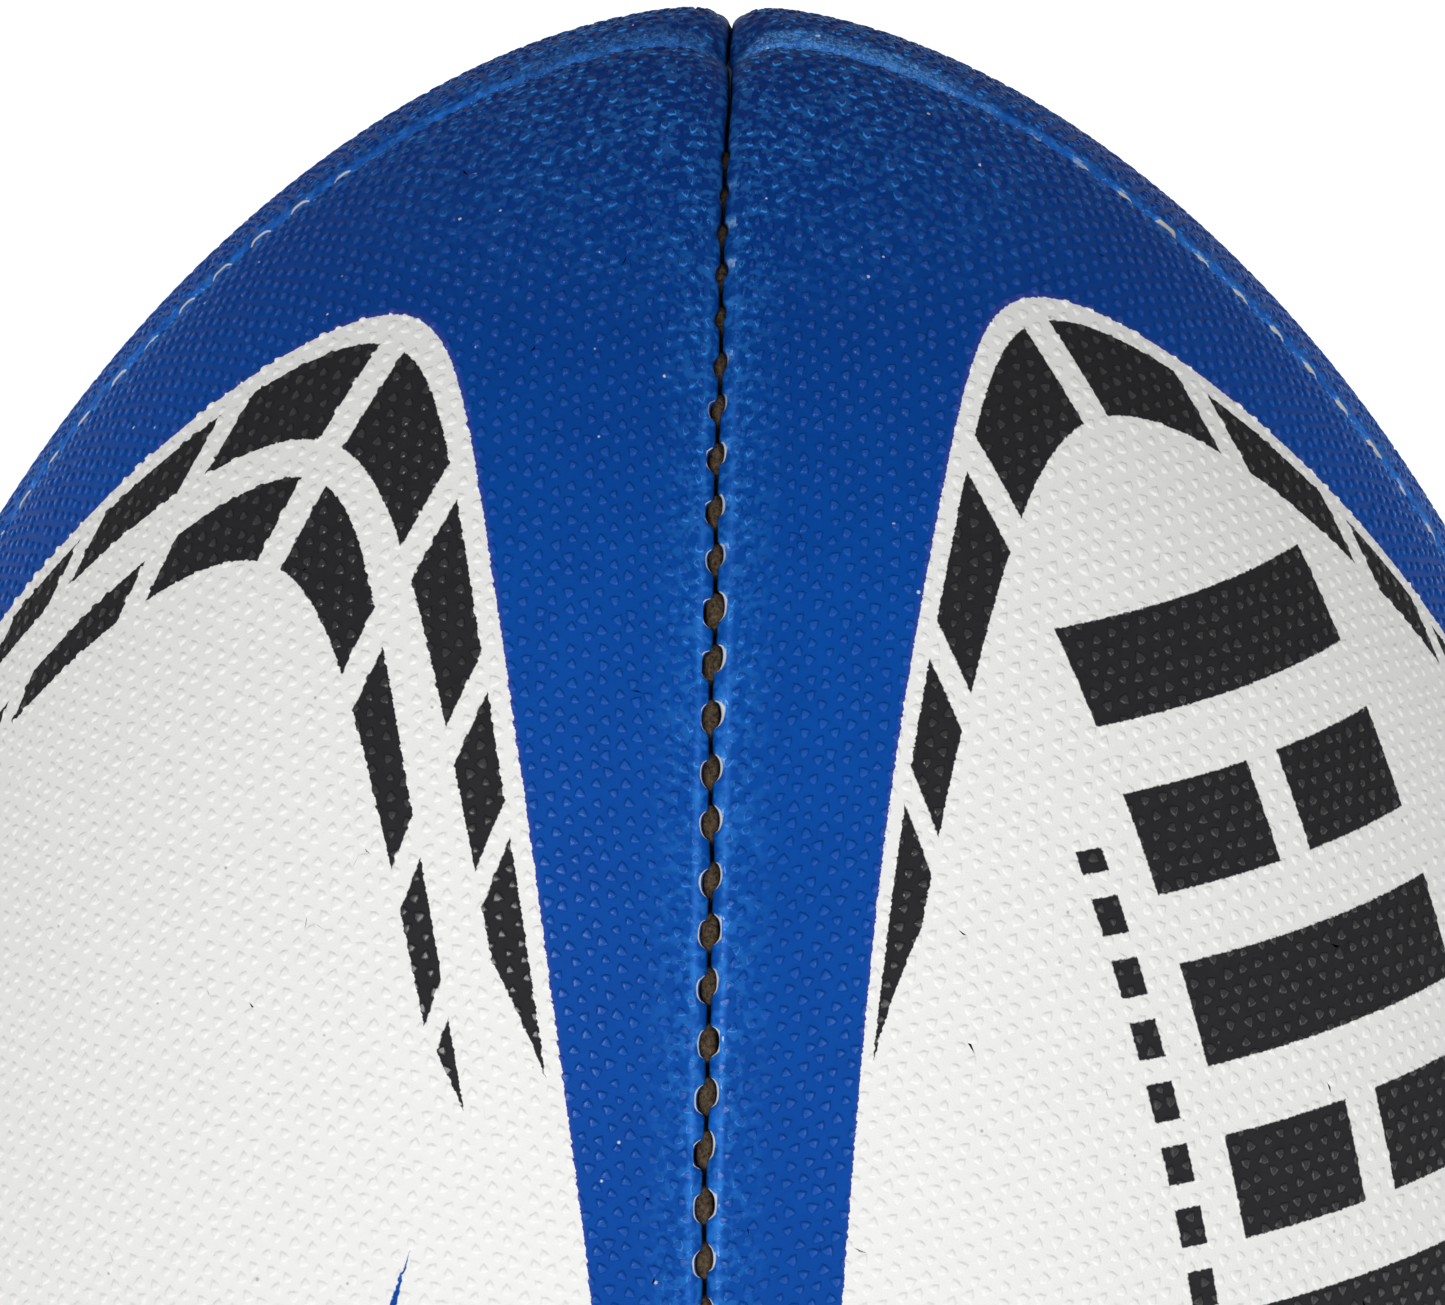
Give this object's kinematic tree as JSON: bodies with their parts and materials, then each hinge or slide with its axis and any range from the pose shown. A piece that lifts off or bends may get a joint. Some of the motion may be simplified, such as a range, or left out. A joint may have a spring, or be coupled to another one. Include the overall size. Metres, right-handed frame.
{
  "type": "rugby ball",
  "caption": "Oval rugby ball: pimpled rubber panels hand-stitched over bonded cloth plies and an air bladder, with a replaceable valve insert.",
  "frame": {"origin": "middle of the ball, at the centre of its bounding box", "axes": "+Z along the long axis; the four seams lie in the planes X = 0 and Y = 0, and -Y faces the viewer along the front seam"},
  "size_m": [0.179, 0.179, 0.2748],
  "materials": {
    "front_right_rubber": "satin, pimpled, printed",
    "rear_right_rubber": "satin, pimpled, printed",
    "rear_left_rubber": "satin, pimpled, printed",
    "front_left_rubber": "satin, pimpled, printed",
    "ply_outer_cloth": "woven, rubberised",
    "ply_middle_cloth": "woven, rubberised",
    "ply_inner_cloth": "woven, rubberised",
    "bladder_butyl": "matt",
    "valve_housing_rubber": "matt",
    "valve_insert_rubber": "satin",
    "seam_thread_cord": "waxed cord"
  },
  "bodies": {
    "ball": {"cover_front_right": "front_right_rubber", "cover_rear_right": "rear_right_rubber", "cover_rear_left": "rear_left_rubber", "cover_front_left": "front_left_rubber", "ply_outer_front_right": "ply_outer_cloth", "ply_outer_rear_right": "ply_outer_cloth", "ply_outer_rear_left": "ply_outer_cloth", "ply_outer_front_left": "ply_outer_cloth", "ply_middle_front_right": "ply_middle_cloth", "ply_middle_rear_right": "ply_middle_cloth", "ply_middle_rear_left": "ply_middle_cloth", "ply_middle_front_left": "ply_middle_cloth", "ply_inner_front_right": "ply_inner_cloth", "ply_inner_rear_right": "ply_inner_cloth", "ply_inner_rear_left": "ply_inner_cloth", "ply_inner_front_left": "ply_inner_cloth", "bladder": "bladder_butyl", "valve_housing": "valve_housing_rubber", "thread_front": "seam_thread_cord", "thread_right": "seam_thread_cord", "thread_rear": "seam_thread_cord", "thread_left": "seam_thread_cord"},
    "insert": {"valve_insert": "valve_insert_rubber"}
  },
  "joints": [
    {"name": "valve_insert_pull", "type": "slide", "parent": "ball", "child": "insert", "axis": [0.392, 0.92, 0], "range_m": [0, 0.022]}
  ]
}
